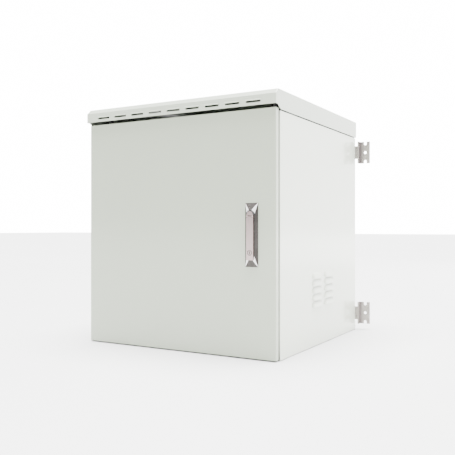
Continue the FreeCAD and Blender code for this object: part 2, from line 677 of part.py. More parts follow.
def shelves():
    shelf("battery_shelf_lower", "shelf_low")
    shelf("battery_shelf_upper", "shelf_high")
    screws, nuts = [], []
    for top in ("shelf_low", "shelf_high"):
        for side in ("-", ""):
            for level in shelf_levels(top):
                x = f"{side}rack_hole"
                front = bolt((x, "-rack_face - 2", level), "Y", 1, "12", head_height="3")
                back = fuse(rod("Y", (x, "rack_face + 2", level), "bolt_head", "3"),
                            rod("Y", (x, "rack_face - 10", level), "bolt_radius", "12"))
                screws += [front, back]
                for face, square in (("-rack_face + 2", "-rack_face"), ("rack_face - 7", "rack_face - 2")):
                    nut = fuse(box((f"{x} - 6.5", f"{x} + 6.5"), (face, f"{face} + 5"),
                                   (f"{level} - 5.5", f"{level} + 5.5")),
                               box((f"{x} - 4.6", f"{x} + 4.6"), (square, f"{square} + 2"),
                                   (f"{level} - 4.6", f"{level} + 4.6")))
                    nuts.append(cut(nut, rod("Y", (x, f"{face} - 4", level), "bolt_radius", "14")))
    node("cage_nuts", group(*nuts))
    node("shelf_screws", group(*screws))


def gland_places():
    return [f"{step} * gland_pitch" for step in (-1.5, -0.5, 0.5, 1.5)]


def hexagon(body, plane_level, across, up, flat):
    corner = f"({flat}) * 2 / sqrt(3)"
    corners = []
    for step in range(6):
        angle = 60 * step
        corners.append((f"{across} + {corner} * cos({angle} deg)",
                        f"{up} + {corner} * sin({angle} deg)"))
    return polygon(sketch_on(body, "XY", plane_level), corners)


def cable_entry():
    plate = box(("-125", "125"), ("gland_depth - 48", "gland_depth + 48"),
                ("plate_level", "plate_level + 2"))
    tools = [rod("Z", (x, "gland_depth", "plate_level - 1"), "10.3", "4") for x in gland_places()]
    tools += [rod("Z", (f"{side}90", f"gland_depth {end}", "plate_level - 1"), "2", "4")
              for side in ("-", "") for end in ("-40", "+40")]
    node("gland_plate", cut(plate, *tools))
    node("gland_plate_screws", group(*[
        fuse(rod("Z", (f"{side}90", f"gland_depth {end}", "plate_level + 2"), "3.6", "2.4"),
             rod("Z", (f"{side}90", f"gland_depth {end}", "plate_level - 5"), "2", "7"))
        for side in ("-", "") for end in ("-40", "+40")]))
    bodies, caps, locks = [], [], []
    for x in gland_places():
        hexes = new_body(unique("gland_body"))
        pad(hexes, hexagon(hexes, "plate_level - 7", x, "gland_depth", "13.5"), "7")
        outer = fuse(hexes, rod("Z", (x, "gland_depth", "plate_level - 16"), "10", "24"))
        bodies.append(cut(outer, rod("Z", (x, "gland_depth", "plate_level - 20"), "gland_bore", "34")))
        dome = new_body(unique("gland_cap"))
        pad(dome, hexagon(dome, "plate_level - 20", x, "gland_depth", "12.5"), "12.5")
        nose = fuse(dome, rod("Z", (x, "gland_depth", "plate_level - 24"), "10.5", "5"))
        caps.append(cut(nose, rod("Z", (x, "gland_depth", "plate_level - 16"), "10", "9"),
                        rod("Z", (x, "gland_depth", "plate_level - 25"), "gland_bore", "12")))
        lock = new_body(unique("gland_lock"))
        pad(lock, hexagon(lock, "plate_level + 2", x, "gland_depth", "13.5"), "5")
        locks.append(cut(lock, rod("Z", (x, "gland_depth", "plate_level"), "10", "9")))
    node("cable_glands", group(*bodies))
    node("gland_caps", group(*caps))
    node("gland_locknuts", group(*locks))


def filters():
    low, high = "louvre_low - 10", "louvre_low + 4 * louvre_pitch + louvre_height + 6"
    front, back = "louvre_middle - 96", "louvre_middle + 96"
    inner = "panel_in - 14"
    tray = cut(box((inner, "panel_in"), (front, back), (low, high)),
               box((f"{inner} + 1.5", "panel_in + 1"), (f"{front} + 1.5", f"{back} - 1.5"),
                   (f"{low} + 1.5", f"{high} - 1.5")))
    body = new_body("filter_slots")
    bars = sketch_on(body, "YZ", f"{inner} - 2")
    rectangle(bars, ("louvre_middle - 84", "louvre_middle - 6"), ("louvre_low", "louvre_low + 5"))
    slot = pad(body, bars, "6")
    pattern(body, [slot], bars, [("V_Axis", "8 * 11", 9), ("H_Axis", "90", 2)])
    cover = cut(tray, body)
    mat = box((f"{inner} + 1.6", "panel_in - 0.5"), (f"{front} + 2", f"{back} - 2"),
              (f"{low} + 2", f"{high} - 2"))
    node("filter_covers", group(cover, mirrored(cover)))
    node("filter_mats", group(mat, mirrored(mat)))


def fan_blade_shape():
    """Seven pitched blades round a hub, with a bore for the motor shaft."""
    low = value("body_height - skin - fan_depth") + 5
    hub = Part.makeCylinder(20, 16, FreeCAD.Vector(0, 0, low))
    tip = value("fan_half") - 5.5
    wheel = hub
    for number in range(7):
        blade = Part.makeBox(tip - 15, 26, 1.6, FreeCAD.Vector(15, -13, -0.8))
        blade.rotate(FreeCAD.Vector(), X_AXIS, 28)
        blade.translate(FreeCAD.Vector(0, 0, low + 8))
        blade.rotate(FreeCAD.Vector(), Z_AXIS, number * 360 / 7)
        wheel = wheel.fuse(blade)
    limit = Part.makeCylinder(tip, 16, FreeCAD.Vector(0, 0, low))
    shaft = Part.makeCylinder(3.05, 10, FreeCAD.Vector(0, 0, low - 1))
    return wheel.common(limit).cut(shaft).removeSplitter()


def fan():
    low = "body_height - skin - fan_depth"
    case = cut(box(("-fan_half", "fan_half"), ("-fan_half", "fan_half"), (low, f"{low} + fan_depth")),
               rod("Z", ("0", "0", f"{low} - 1"), "fan_half - 3.5", "fan_depth + 2"))
    struts = [rod("Z", ("0", "0", low), "17", "4"), rod("Z", ("0", "0", f"{low} + 4"), "3", "8")]
    struts.append(box(("-fan_half + 2", "fan_half - 2"), ("-2.5", "2.5"), (low, f"{low} + 3")))
    struts.append(box(("-2.5", "2.5"), ("-fan_half + 2", "fan_half - 2"), (low, f"{low} + 3")))
    corners = [(f"{side}52.5", f"{end}52.5") for side in ("-", "") for end in ("-", "")]
    holes = [rod("Z", (x, y, f"{low} - 1"), "2.2", "fan_depth + 2") for x, y in corners]
    node("fan_housing", cut(fuse(case, *struts), *holes))
    node("fan_rotor", coded(fan_blade_shape()))
    guard_low = f"{low} - 2"
    rings = []
    for radius in ("18", "34", "50"):
        rings.append(cut(rod("Z", ("0", "0", guard_low), f"{radius} + 1.5", "2"),
                         rod("Z", ("0", "0", f"{guard_low} - 1"), f"{radius} - 1.5", "4")))
    arms = []
    for angle in (45, 135):
        arm = doc.addObject("Part::Box", unique("arm"))
        arm.Length, arm.Width, arm.Height = 158, 5, 2
        turn = FreeCAD.Rotation(Z_AXIS, angle)
        corner = turn.multVec(FreeCAD.Vector(-79, -2.5, 0))
        arm.Placement = FreeCAD.Placement(corner, turn)
        bind(arm, "Placement.Base.z", guard_low)
        arms.append(arm)
    screws = [rod("Z", (x, y, f"{guard_low} - 1"), "2.2", "6") for x, y in corners]
    node("fan_guard", cut(fuse(*(rings + arms)), *screws))
    node("fan_screws", group(*[
        fuse(rod("Z", (x, y, f"{guard_low} - 2.6"), "4", "2.6"),
             rod("Z", (x, y, guard_low), "2.2", "fan_depth + 2 + skin + 3"),
             rod("Z", (x, y, "body_height"), "4", "3.2")) for x, y in corners]))


def earth_point():
    nut_face = "plate_level - skin - 6.5"
    node("earth_stud", fuse(rod("Z", ("-255", "230", "plate_level"), "7", "5"),
                            rod("Z", ("-255", "230", nut_face), "4.2", "6.5 + skin + 1"),
                            rod("Z", ("-255", "230", f"{nut_face} - 15.5"), "4", "15.5")))
    nut = new_body("earth_nut_blank")
    pad(nut, hexagon(nut, nut_face, "-255", "230", "6.5"), "6.5")
    node("earth_nut", cut(nut, rod("Z", ("-255", "230", f"{nut_face} - 1"), "4.2", "9")))


# ---- door -------------------------------------------------------------------------

def door_panel():
    body = new_body("door_sheet")
    outside = ("-door_half", "door_half")
    pad(body, rectangle(sketch_on(body, "XZ", "door_face"), outside, ("door_bottom", "door_top")),
        "door_depth", reverse=True)
    face = value("door_face")
    round_edges(body, "door_fold", lambda a, b: abs(a.y - b.y) > 1 or
                (abs(a.y - face) < 0.01 and abs(b.y - face) < 0.01))
    inside = sketch_on(body, "XZ", "door_face + door_depth - skin")
    rectangle(inside, ("skin - door_half", "door_half - skin"),
              ("door_bottom + skin", "door_top - skin"))
    pocket(body, inside, "door_depth - 2 * skin", reverse=True)
    mouth = sketch_on(body, "XZ", "door_face + door_depth + 1")
    rectangle(mouth, ("door_lip - door_half", "door_half - door_lip"),
              ("door_bottom + door_lip", "door_top - door_lip"))
    pocket(body, mouth, "skin + 2", reverse=True)
    notches = sketch_on(body, "XZ", "door_face + door_depth + 1")
    for level in ("hinge_low", "hinge_high"):
        rectangle(notches, ("skin - door_half", "door_lip + 1 - door_half"),
                  (f"{level} - 14", f"{level} + 14"))
    pocket(body, notches, "skin + 2", reverse=True)
    holes = sketch_on(body, "XZ", "door_face")
    circle(holes, "handle_x", "spindle_z", "11.05")
    for level in ("handle_low + 22", "handle_low + 75"):
        circle(holes, "handle_x", level, "2.7")
    pocket(body, holes, "3 * skin", both=True)
    node("door_panel", body)


def door_fittings():
    stiff = cut(box(("-40", "40"), ("door_face + skin", "door_face + 11.5"), ("70", "558")),
                box(("-23", "23"), ("door_face + skin - 1", "door_face + 10"), ("60", "568")),
                box(("-41", "-24.5"), ("door_face + 3", "door_face + 12"), ("60", "568")),
                box(("24.5", "41"), ("door_face + 3", "door_face + 12"), ("60", "568")))
    node("door_stiffener", stiff)
    middle = "(lip_half - skin / 2)"
    low, high = "(lip_low + skin / 2)", "(lip_high - skin / 2)"
    gasket = cut(box((f"-{middle} - seal_half", f"{middle} + seal_half"),
                     ("door_face + skin", "seal_face"),
                     (f"{low} - seal_half", f"{high} + seal_half")),
                 box((f"seal_half - {middle}", f"{middle} - seal_half"),
                     ("door_face", "seal_face + 1"),
                     (f"{low} + seal_half", f"{high} - seal_half")))
    node("door_gasket", gasket)


def hinges():
    leaves, pins, arms = [], [], []
    x, y = "hinge_x", "hinge_y"
    plate_x = ("skin - door_half", "2 * skin - door_half")
    for level in ("hinge_low", "hinge_high"):
        plate = box(plate_x, ("door_face + skin + 0.3", "door_face + door_depth - skin - 0.2"),
                    (f"{level} - 28", f"{level} + 28"))
        ears = []
        for low in (f"{level} + 3.2", f"{level} - 7.2"):
            ears.append(rod("Z", (x, y, low), "4.5", "4"))
            ears.append(box((plate_x[0], x), (f"{y} - 4.5", f"{y} + 4.5"), (low, f"{low} + 4")))
        leaves.append(cut(fuse(plate, *ears), rod("Z", (x, y, f"{level} - 12"), "2.55", "24")))
        pins.append(fuse(rod("Z", (x, y, f"{level} - 7.2"), "2.5", "14.4"),
                         rod("Z", (x, y, f"{level} + 7.2"), "3.6", "1.5")))
        eye = rod("Z", (x, y, f"{level} - 3"), "4", "6")
        bar = box((x, f"{x} + 20"), (f"{y} - 4", f"{y} - 0.2"), (f"{level} - 3", f"{level} + 3"))
        back = box((f"{x} + 15", f"{x} + 20"), (f"{y} - 4", "body_front"),
                   (f"{level} - 3", f"{level} + 3"))
        foot = box((f"{x} + 8.5", f"{x} + 26.5"), ("body_front - 2", "body_front"),
                   (f"{level} - 16", f"{level} + 16"))
        arms.append(cut(fuse(eye, bar, back, foot), rod("Z", (x, y, f"{level} - 5"), "2.55", "10")))
    node("hinge_leaves", group(*leaves))
    node("hinge_pins", group(*pins))
    node("hinge_arms", group(*arms))


# ---- swing handle -----------------------------------------------------------------

def height(number):
    """The position along Y of a height above the door face."""
    return f"door_face - ({number})"


def escutcheon_shape():
    """A hipped frame: bevelled sides, narrow facets at the corners, a flat bed and a raised top."""
    x0, half = value("handle_x"), value("handle_half")
    low, high = value("handle_low"), value("handle_high")
    y0 = value("door_face")
    bed, edge, peak = value("crest"), 1.0, 9.0
    shoulder, ridge_half, foot_half = 10.25, 4.0, 6.0
    bed_low, bed_high, ridge = low + 17.5, value("spindle_z"), high - 17.5
    points = {}
    for side, sign in (("l", -1), ("r", 1)):
        points[f"a{side}"] = (x0 + sign * half, y0, low)
        points[f"b{side}"] = (x0 + sign * half, y0, high)
        points[f"c{side}"] = (x0 + sign * half, y0 - edge, low)
        points[f"d{side}"] = (x0 + sign * half, y0 - edge, high)
        points[f"e{side}"] = (x0 + sign * shoulder, y0 - bed, bed_low + 9)
        points[f"f{side}"] = (x0 + sign * shoulder, y0 - bed, bed_high)
        points[f"g{side}"] = (x0 + sign * ridge_half, y0 - peak, ridge)
        points[f"h{side}"] = (x0 + sign * foot_half, y0 - bed, bed_low)
    faces = [("al", "ar", "br", "bl"), ("al", "cl", "cr", "ar"), ("bl", "br", "dr", "dl"),
             ("cl", "hl", "hr", "cr"), ("hl", "el", "fl", "fr", "er", "hr"),
             ("fl", "gl", "gr", "fr"),
             ("gl", "dl", "dr", "gr")]
    for side in "lr":
        faces += [tuple(f"{corner}{side}" for corner in "abdc"),
                  (f"c{side}", f"d{side}", f"f{side}"), (f"c{side}", f"f{side}", f"e{side}"),
                  (f"d{side}", f"g{side}", f"f{side}"), (f"c{side}", f"e{side}", f"h{side}")]
    solid = faceted(points, faces)
    solid.fix(1e-6, 1e-6, 1e-6)
    return solid if solid.Volume > 0 else solid.reversed()


def handle_fixed_parts():
    swept = box(("handle_x - 20", "handle_x"), (height("20"), height("crest")),
                ("spindle_z - 5", "spindle_z + lever_half + 0.4"))
    tools = [swept, rod("Y", ("handle_x", height("20"), "spindle_z"), "11.05", "30")]
    for level in ("handle_low + 22", "handle_low + 75"):
        tools.append(rod("Y", ("handle_x", height("4.5"), level), "2.55", "6"))
    node("handle_escutcheon", cut(coded(escutcheon_shape()), *tools))
    ring = rod("Y", ("handle_x", height("6.9"), "spindle_z"), "11", "6.9 + skin")
    collar = cut(rod("Y", ("handle_x", height("11.5"), "spindle_z"), "lever_half", "4.7"),
                 box(("handle_x - 12", "handle_x + 12"), (height("12"), height("6")),
                     ("spindle_z - 12", "spindle_z")),
                 rod("Y", ("handle_x", height("12"), "spindle_z"), "cap_radius + 0.02", "5.2"))
    node("spindle_bush", fuse(cut(ring, rod("Y", ("handle_x", height("8"), "spindle_z"), "8.02", "14")),
                              collar))
    screws = []
    for level in ("handle_low + 22", "handle_low + 75"):
        screws.append(fuse(rod("Y", ("handle_x", height("4.5"), level), "2.5", "4.5 + skin"),
                           rod("Y", ("handle_x", height("-skin"), level), "4.6", "3")))
    node("handle_screws", group(*screws))


def handle_spindle():
    """Round boss with a fork for the lever, a round hub and a square shaft behind it."""
    x, z = "handle_x", "spindle_z"
    face, back = height("lever_face"), height("lever_back")
    disc = rod("Y", (x, face, z), "lever_half", "lever_face - lever_back")
    cheeks = box((f"{x} - lever_half", f"{x} + lever_half"), (face, back), ("lever_pivot", z))
    noses = rod("X", (f"{x} - lever_half", height("(lever_face + lever_back) / 2"), "lever_pivot"),
                "(lever_face - lever_back) / 2", "2 * lever_half")
    below = box((f"{x} - 12", f"{x} + 12"), (height("lever_face + 1"), height("lever_back - 1")),
                ("lever_pivot - 12", "lever_pivot"))
    fork = fuse(cut(fuse(disc, cheeks), below), noses)
    gap = box((f"{x} - 5.75", f"{x} + 5.75"), (height("lever_face + 1"), height("lever_back - 1")),
              ("lever_pivot - 5", "lever_pivot + 2.65"))
    pin = rod("X", (f"{x} - 8.6", height("(lever_face + lever_back) / 2"), "lever_pivot"),
              "1", "17.2")
    collar = cut(rod("Y", (x, height("lever_face + 1"), z), "lever_half + 2", "lever_face - 6"),
                 rod("Y", (x, height("lever_face + 2"), z), "cap_radius", "lever_face - 4"))
    seat = common(collar, box((f"{x} - 12", f"{x} + 12"),
                              (height("lever_face + 1"), height("lever_back - 1")), (z, f"{z} + 12")))
    boss = cut(fork, gap, pin, seat)
    hub = rod("Y", (x, back, z), "8", "lever_back + 7")
    shaft = box((f"{x} - 4.5", f"{x} + 4.5"), (height("-7"), "rod_front + 14"),
                (f"{z} - 4.5", f"{z} + 4.5"))
    thread = rod("Y", (x, "rod_front + 14", z), "3", "7")
    node("handle_spindle", fuse(boss, hub, shaft, thread))


def gear_outline(teeth, module, backlash):
    """Corner points of an involute pinion, drawn about the origin with a tooth on +X."""
    pressure = math.radians(20)
    pitch = teeth * module / 2
    base, tip, root = pitch * math.cos(pressure), pitch + module, pitch - 1.25 * module

    def involute(angle):
        return math.tan(angle) - angle
    half_tooth = math.pi / (2 * teeth) - backlash / (2 * pitch) + involute(pressure)
    points = []
    for number in range(teeth):
        middle = 2 * math.pi * number / teeth
        flank = [(root, half_tooth)]
        for step in range(6):
            radius = base + (tip - base) * step / 5
            flank.append((radius, half_tooth - involute(math.acos(min(1, base / radius)))))
        for radius, angle in flank:
            points.append((radius, middle - angle))
        for radius, angle in reversed(flank):
            points.append((radius, middle + angle))
    return points


def drive_pinion():
    teeth, module = int(value("gear_teeth")), value("gear_module")
    x, z = value("handle_x"), value("spindle_z")
    loop = [FreeCAD.Vector(x + r * math.cos(a), value("rod_front"), z + r * math.sin(a))
            for r, a in gear_outline(teeth, module, 0.2)]
    face = Part.Face(Part.makePolygon(loop + loop[:1]))
    wheel = coded(face.extrude(FreeCAD.Vector(0, value("rod_gauge"), 0)))
    hole = box(("handle_x - 4.5", "handle_x + 4.5"), ("rod_front - 1", "rod_front + 6"),
               ("spindle_z - 4.5", "spindle_z + 4.5"))
    node("drive_pinion", cut(wheel, hole))


def cam_and_nut():
    x, z = "handle_x", "spindle_z"
    front = "rod_front + 9"
    tongue = box((x, "269.5"), (front, f"{front} + 3"), (f"{z} - 7", f"{z} + 7"))
    eye = rod("Y", (x, front, z), "10", "3")
    hole = box((f"{x} - 4.5", f"{x} + 4.5"), (f"{front} - 1", f"{front} + 4"),
               (f"{z} - 4.5", f"{z} + 4.5"))
    node("latch_cam", cut(fuse(tongue, eye), hole))
    nut = cut(rod("Y", (x, "rod_front + 14", z), "7", "5"),
              rod("Y", (x, "rod_front + 13", z), "3", "8"))
    collar = cut(rod("Y", (x, "rod_front + 12", z), "8", "2"),
                 box((f"{x} - 4.5", f"{x} + 4.5"), ("rod_front + 11", "rod_front + 15"),
                     (f"{z} - 4.5", f"{z} + 4.5")))
    node("cam_nut", fuse(nut, collar))


def handle_lever():
    x = "handle_x"
    face, back = height("lever_face"), height("lever_back")
    blade = box((f"{x} - lever_half", f"{x} + lever_half"), (face, back),
                ("lever_tip", "lever_pivot - 2.65"))
    tongue = box((f"{x} - 5.6", f"{x} + 5.6"), (face, back), ("lever_pivot - 4", "lever_pivot"))
    knuckle = rod("X", (f"{x} - 5.6", height("(lever_face + lever_back) / 2"), "lever_pivot"),
                  "(lever_face - lever_back) / 2", "11.2")
    pin = rod("X", (f"{x} - 8.6", height("(lever_face + lever_back) / 2"), "lever_pivot"),
              "1.05", "17.2")
    seat = rod("Y", (x, height("lever_face + 1"), "lock_z"), "7.05", "4")
    rear = rod("Y", (x, height("lever_face"), "lock_z"), "5.55", "7")
    node("handle_lever", cut(fuse(blade, tongue, knuckle), pin, seat, rear))
    node("lever_pin", rod("X", (f"{x} - 8.6", height("(lever_face + lever_back) / 2"),
                                "lever_pivot"), "1", "17.2"))
    plug = fuse(rod("Y", (x, height("lever_face"), "lock_z"), "7", "2.95"),
                rod("Y", (x, height("lever_face - 2.9"), "lock_z"), "5.5", "1.9"))
    key_slot = box((f"{x} - 0.8", f"{x} + 0.8"), (height("lever_face + 1"), height("lever_face - 2")),
                   ("lock_z - 3.6", "lock_z + 3.6"))
    groove = cut(rod("Y", (x, height("lever_face + 1"), "lock_z"), "6.6", "2.2"),
                 rod("Y", (x, height("lever_face + 2"), "lock_z"), "5.4", "4.2"))
    node("lock_cylinder", cut(plug, key_slot, groove))


def gearbox():
    x, z = "handle_x", "spindle_z"
    front, cover = height("-skin"), "rod_front + 6"
    shell = cut(box((f"{x} - 24", f"{x} + 24"), (front, cover), (f"{z} - 33", f"{z} + 33")),
                box((f"{x} - 22.5", f"{x} + 22.5"), (f"{front} + 1.5", f"{cover} + 1"),
                    (f"{z} - 31.5", f"{z} + 31.5")))
    slots = [rod("Y", (x, f"{front} - 1", z), "8.3", "4")]
    slots.append(box((f"{x} + 7", f"{x} + 22"), ("rod_front - 0.4", "rod_front + 4.4"), (z, f"{z} + 40")))
    slots.append(box((f"{x} - 22", f"{x} - 7"), ("rod_front - 0.4", "rod_front + 4.4"),
                     (f"{z} - 40", z)))
    node("gearbox_housing", cut(shell, *slots))
    plate = box((f"{x} - 24", f"{x} + 24"), (cover, f"{cover} + 1.5"), (f"{z} - 33", f"{z} + 33"))
    node("gearbox_cover", cut(plate, rod("Y", (x, f"{cover} - 1", z), "6.6", "4")))


def rack_rod(side, far_end):
    """A flat bar with rack teeth towards the pinion, running up or down from it."""
    module, pitch_radius = value("gear_module"), value("gear_module * gear_teeth / 2")
    travel = math.pi / 2 * pitch_radius
    step = math.pi * module
    z0 = value("spindle_z")
    root = pitch_radius + 1.3 * module
    tip = pitch_radius - 0.78 * module
    outer = 20.0
    lean = math.tan(math.radians(20))
    half = step / 4 - 0.1
    first, last = (-2, 5) if side > 0 else (-6, 1)
    near = z0 + side * (-travel / 2 - 3.5)
    points = []
    for number in range(first, last + 1):
        middle = z0 + (number + 0.5) * step
        for depth, rise in ((root, -1), (tip, -1), (tip, 1), (root, 1)):
            spread = half + (depth - pitch_radius) * lean
            points.append((depth, middle + rise * spread))
    ends = (near, far_end) if side > 0 else (far_end, near)
    loop = [(root, ends[0])] + points + [(root, ends[1]), (outer, ends[1]), (outer, ends[0])]
    x0, y0 = value("handle_x"), value("rod_front")
    corners = [FreeCAD.Vector(x0 + side * depth, y0, level) for depth, level in loop]
    face = Part.Face(Part.makePolygon(corners + corners[:1]))
    return coded(face.extrude(FreeCAD.Vector(0, value("rod_gauge"), 0)))


def lock_rods():
    node("lock_rod_upper", rack_rod(1, value("lip_high + 10")))
    node("lock_rod_lower", rack_rod(-1, value("lip_low - 2.5")))
    guides = []
    for low, high, levels in (("handle_x + 12.4", "handle_x + 20", ("440", "552")),
                              ("handle_x - 20", "handle_x - 12.4", ("80", "200"))):
        for level in levels:
            block = box((f"{low} - 4", f"{high} + 4"), ("door_face + skin", "rod_front + 7.5"),
                        (level, f"{level} + 12"))
            way = box((f"{low} - 0.3", f"{high} + 0.3"), ("rod_front - 0.2", "rod_front + 4.2"),
                      (f"{level} - 1", f"{level} + 13"))
            guides.append(cut(block, way))
    node("rod_guides", group(*guides))


def keepers():
    node("cam_keeper", box(("261.5", "281"), ("body_front + skin", "rod_front + 8.4"),
                           ("spindle_z - 14", "spindle_z + 14")))
    plates = [box(("handle_x + 8", "handle_x + 25"), ("body_front + skin", "rod_front - 0.2"),
                  ("lip_high - skin + 0.5", "lip_high + 18")),
              box(("handle_x - 25", "handle_x - 8"), ("body_front + skin", "rod_front - 0.2"),
                  ("plate_level + 0.2", "lip_low + skin - 0.5"))]
    node("rod_keepers", group(*plates))


# ---- the whole cabinet ------------------------------------------------------------

def build():
    side_panels()
    back_panel()
    top_panel()
    base_panel()
    front_frame()
    roof_canopy()
    roof_fixings()
    wall_brackets()
    rack()
    shelves()
    cable_entry()
    filters()
    fan()
    earth_point()
    door_panel()
    door_fittings()
    hinges()
    handle_fixed_parts()
    handle_spindle()
    drive_pinion()
    cam_and_nut()
    handle_lever()
    gearbox()
    lock_rods()
    keepers()
    doc.recompute()


def write_out():
    bad = [item.Name for item in doc.Objects if "Invalid" in item.State or "Error" in item.State]
    if bad:
        raise RuntimeError("did not recompute: " + ", ".join(bad))
    os.makedirs("parts", exist_ok=True)
    for item in NODES:
        shape = item.Shape
        if shape.isNull() or not shape.isValid() or not shape.Solids:
            raise RuntimeError("bad shape: " + item.Label)
        shape.exportStep(os.path.join("parts", item.Label + ".step"))
        box_of = shape.BoundBox
        print(f"{item.Label:28s} {len(shape.Solids):3d} solids  {shape.Volume / 1000:9.2f} cm3  "
              f"x {box_of.XMin:8.2f} {box_of.XMax:8.2f}  y {box_of.YMin:8.2f} {box_of.YMax:8.2f}  "
              f"z {box_of.ZMin:8.2f} {box_of.ZMax:8.2f}")
    print(len(NODES), "nodes")


build()
write_out()
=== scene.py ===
import json
import math

import bpy
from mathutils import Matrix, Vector

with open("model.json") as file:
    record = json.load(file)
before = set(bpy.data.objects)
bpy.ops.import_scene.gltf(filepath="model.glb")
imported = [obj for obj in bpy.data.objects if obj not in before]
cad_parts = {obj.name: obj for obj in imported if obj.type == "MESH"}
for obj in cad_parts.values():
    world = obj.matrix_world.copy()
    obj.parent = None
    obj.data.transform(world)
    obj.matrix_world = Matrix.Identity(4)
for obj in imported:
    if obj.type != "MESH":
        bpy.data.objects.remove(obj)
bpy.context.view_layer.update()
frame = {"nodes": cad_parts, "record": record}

# ---- dimensions and levels, in metres, degrees and watts -----------------------------

# Painted shade: colour drawn darker where nearby surfaces shut out the light, with these reaches
# and levels.
HOLLOW_REACH = 0.08            # how far the painted shade in paint looks for a surface that shuts out the light
HOLLOW_OPENNESS = (0.12, 0.5)  # fully in a hollow, and fully in the open
HOLLOW_PAINTED_SHADE = 0.08
CORNER_REACH = 0.03            # the same painted shade for rolled metal, in its corners
CORNER_PAINTED_SHADE = 0.75
GROOVE_REACH = 0.0025          # and the painted shade in the lock's groove
GROOVE_PAINTED_SHADE = 0.08

# Direction of the handle's corner facets that carry the painted highlight, folded onto one side,
# and the cosines at its edge.
HIGHLIGHT_FACET_DIRECTION = (0.364, 0.923, 0.083)
HIGHLIGHT_FACET_COSINES = (0.976, 0.983)
# Cosines at the edge of the handle's upper slope, which is painted lighter: painted light.
PAINTED_UPPER_SLOPE_COSINES = (0.34, 0.4)
# Metallic on the corner facets, low so that their painted highlight shows white.
HIGHLIGHT_FACET_METAL = 0.15

FLOOR_SIZE = 60
LIT_STRENGTH = 1.2             # the room's light on the object
SEEN_STRENGTH = 16.0           # the room as the camera sees it
OVERHEAD_STRENGTH = 25.0
OVERHEAD_SPREAD = 45

LENS = 50.256                  # millimetres, on a 36 mm sensor
SENSOR_WIDTH = 36.0
CAMERA_PLACE = (0.96658, -1.7011, 0.3302)
CAMERA_TURN = 29.856

# ---- node building ----------------------------------------------------------------


class Graph:
    """A material's node tree with a short way to add and join nodes."""

    def __init__(self, name):
        self.material = bpy.data.materials.new(name)
        self.material.use_nodes = True
        self.tree = self.material.node_tree
        self.tree.nodes.clear()
        self.output = self.add("ShaderNodeOutputMaterial")
        self.shader = self.add("ShaderNodeBsdfPrincipled")
        self.join(self.shader.outputs[0], self.output.inputs["Surface"])
        self.coordinates = self.add("ShaderNodeTexCoord").outputs["Object"]

    def add(self, kind, **settings):
        node = self.tree.nodes.new(kind)
        for key, value in settings.items():
            setattr(node, key, value)
        return node

    def join(self, source, target):
        self.tree.links.new(source, target)

    def set(self, **values):
        """Constant numbers on the shader's own sockets."""
        for key, value in values.items():
            self.shader.inputs[key.replace("_", " ")].default_value = value

    def stretched(self, scale):
        mapping = self.add("ShaderNodeMapping")
        mapping.inputs["Scale"].default_value = scale
        self.join(self.coordinates, mapping.inputs["Vector"])
        return mapping.outputs["Vector"]

    def noise(self, scale, detail=2.0, rough=0.5, vector=None):
        node = self.add("ShaderNodeTexNoise")
        node.inputs["Scale"].default_value = scale
        node.inputs["Detail"].default_value = detail
        node.inputs["Roughness"].default_value = rough
        self.join(vector or self.coordinates, node.inputs["Vector"])
        return node.outputs["Fac"]

    def cells(self, scale, output="Color"):
        node = self.add("ShaderNodeTexVoronoi")
        node.inputs["Scale"].default_value = scale
        self.join(self.coordinates, node.inputs["Vector"])
        return node.outputs[output]

    def ramp(self, value, low, high, start=0.3, end=0.7):
        """Maps start..end of a value onto low..high, numbers or colours."""
        node = self.add("ShaderNodeMapRange")
        self.join(value, node.inputs["Value"])
        node.inputs["From Min"].default_value = start
        node.inputs["From Max"].default_value = end
        node.inputs["To Min"].default_value = low
        node.inputs["To Max"].default_value = high
        return node.outputs["Result"]

    def openness(self, reach):
        """Near 0 deep in a gap, where most of the view within reach is blocked, 1 in the open."""
        node = self.add("ShaderNodeAmbientOcclusion", samples=8)
        node.inputs["Distance"].default_value = reach
        return node.outputs["AO"]

    def larger(self, first, second):
        node = self.add("ShaderNodeMath", operation="MAXIMUM")
        self.join(first, node.inputs[0])
        self.join(second, node.inputs[1])
        return node.outputs[0]

    def facing(self, direction):
        """How far the piece's own normal, folded onto one side, lies along a direction."""
        normal = self.add("ShaderNodeTexCoord").outputs["Normal"]
        folded = self.add("ShaderNodeVectorMath", operation="ABSOLUTE")
        self.join(normal, folded.inputs[0])
        along = self.add("ShaderNodeVectorMath", operation="DOT_PRODUCT")
        self.join(folded.outputs["Vector"], along.inputs[0])
        along.inputs[1].default_value = Vector(direction).normalized()
        return along.outputs["Value"]

    def mix(self, factor, first, second):
        node = self.add("ShaderNodeMix", data_type="RGBA")
        self.join(factor, node.inputs["Factor"])
        for socket, colour in ((node.inputs["A"], first), (node.inputs["B"], second)):
            if isinstance(colour, tuple):
                socket.default_value = (*colour, 1.0)
            else:
                self.join(colour, socket)
        return node.outputs["Result"]

    def bump(self, height, distance, strength=1.0, under=None):
        node = self.add("ShaderNodeBump")
        node.inputs["Strength"].default_value = strength
        node.inputs["Distance"].default_value = distance
        self.join(height, node.inputs["Height"])
        if under is not None:
            self.join(under, node.inputs["Normal"])
        return node.outputs["Normal"]

    def colour(self, source):
        self.join(source, self.shader.inputs["Base Color"])

    def rough(self, source):
        self.join(source, self.shader.inputs["Roughness"])

    def normal(self, source):
        self.join(source, self.shader.inputs["Normal"])


def shade(colour, factor):
    return tuple(min(1.0, part * factor) for part in colour)


# ---- materials --------------------------------------------------------------------

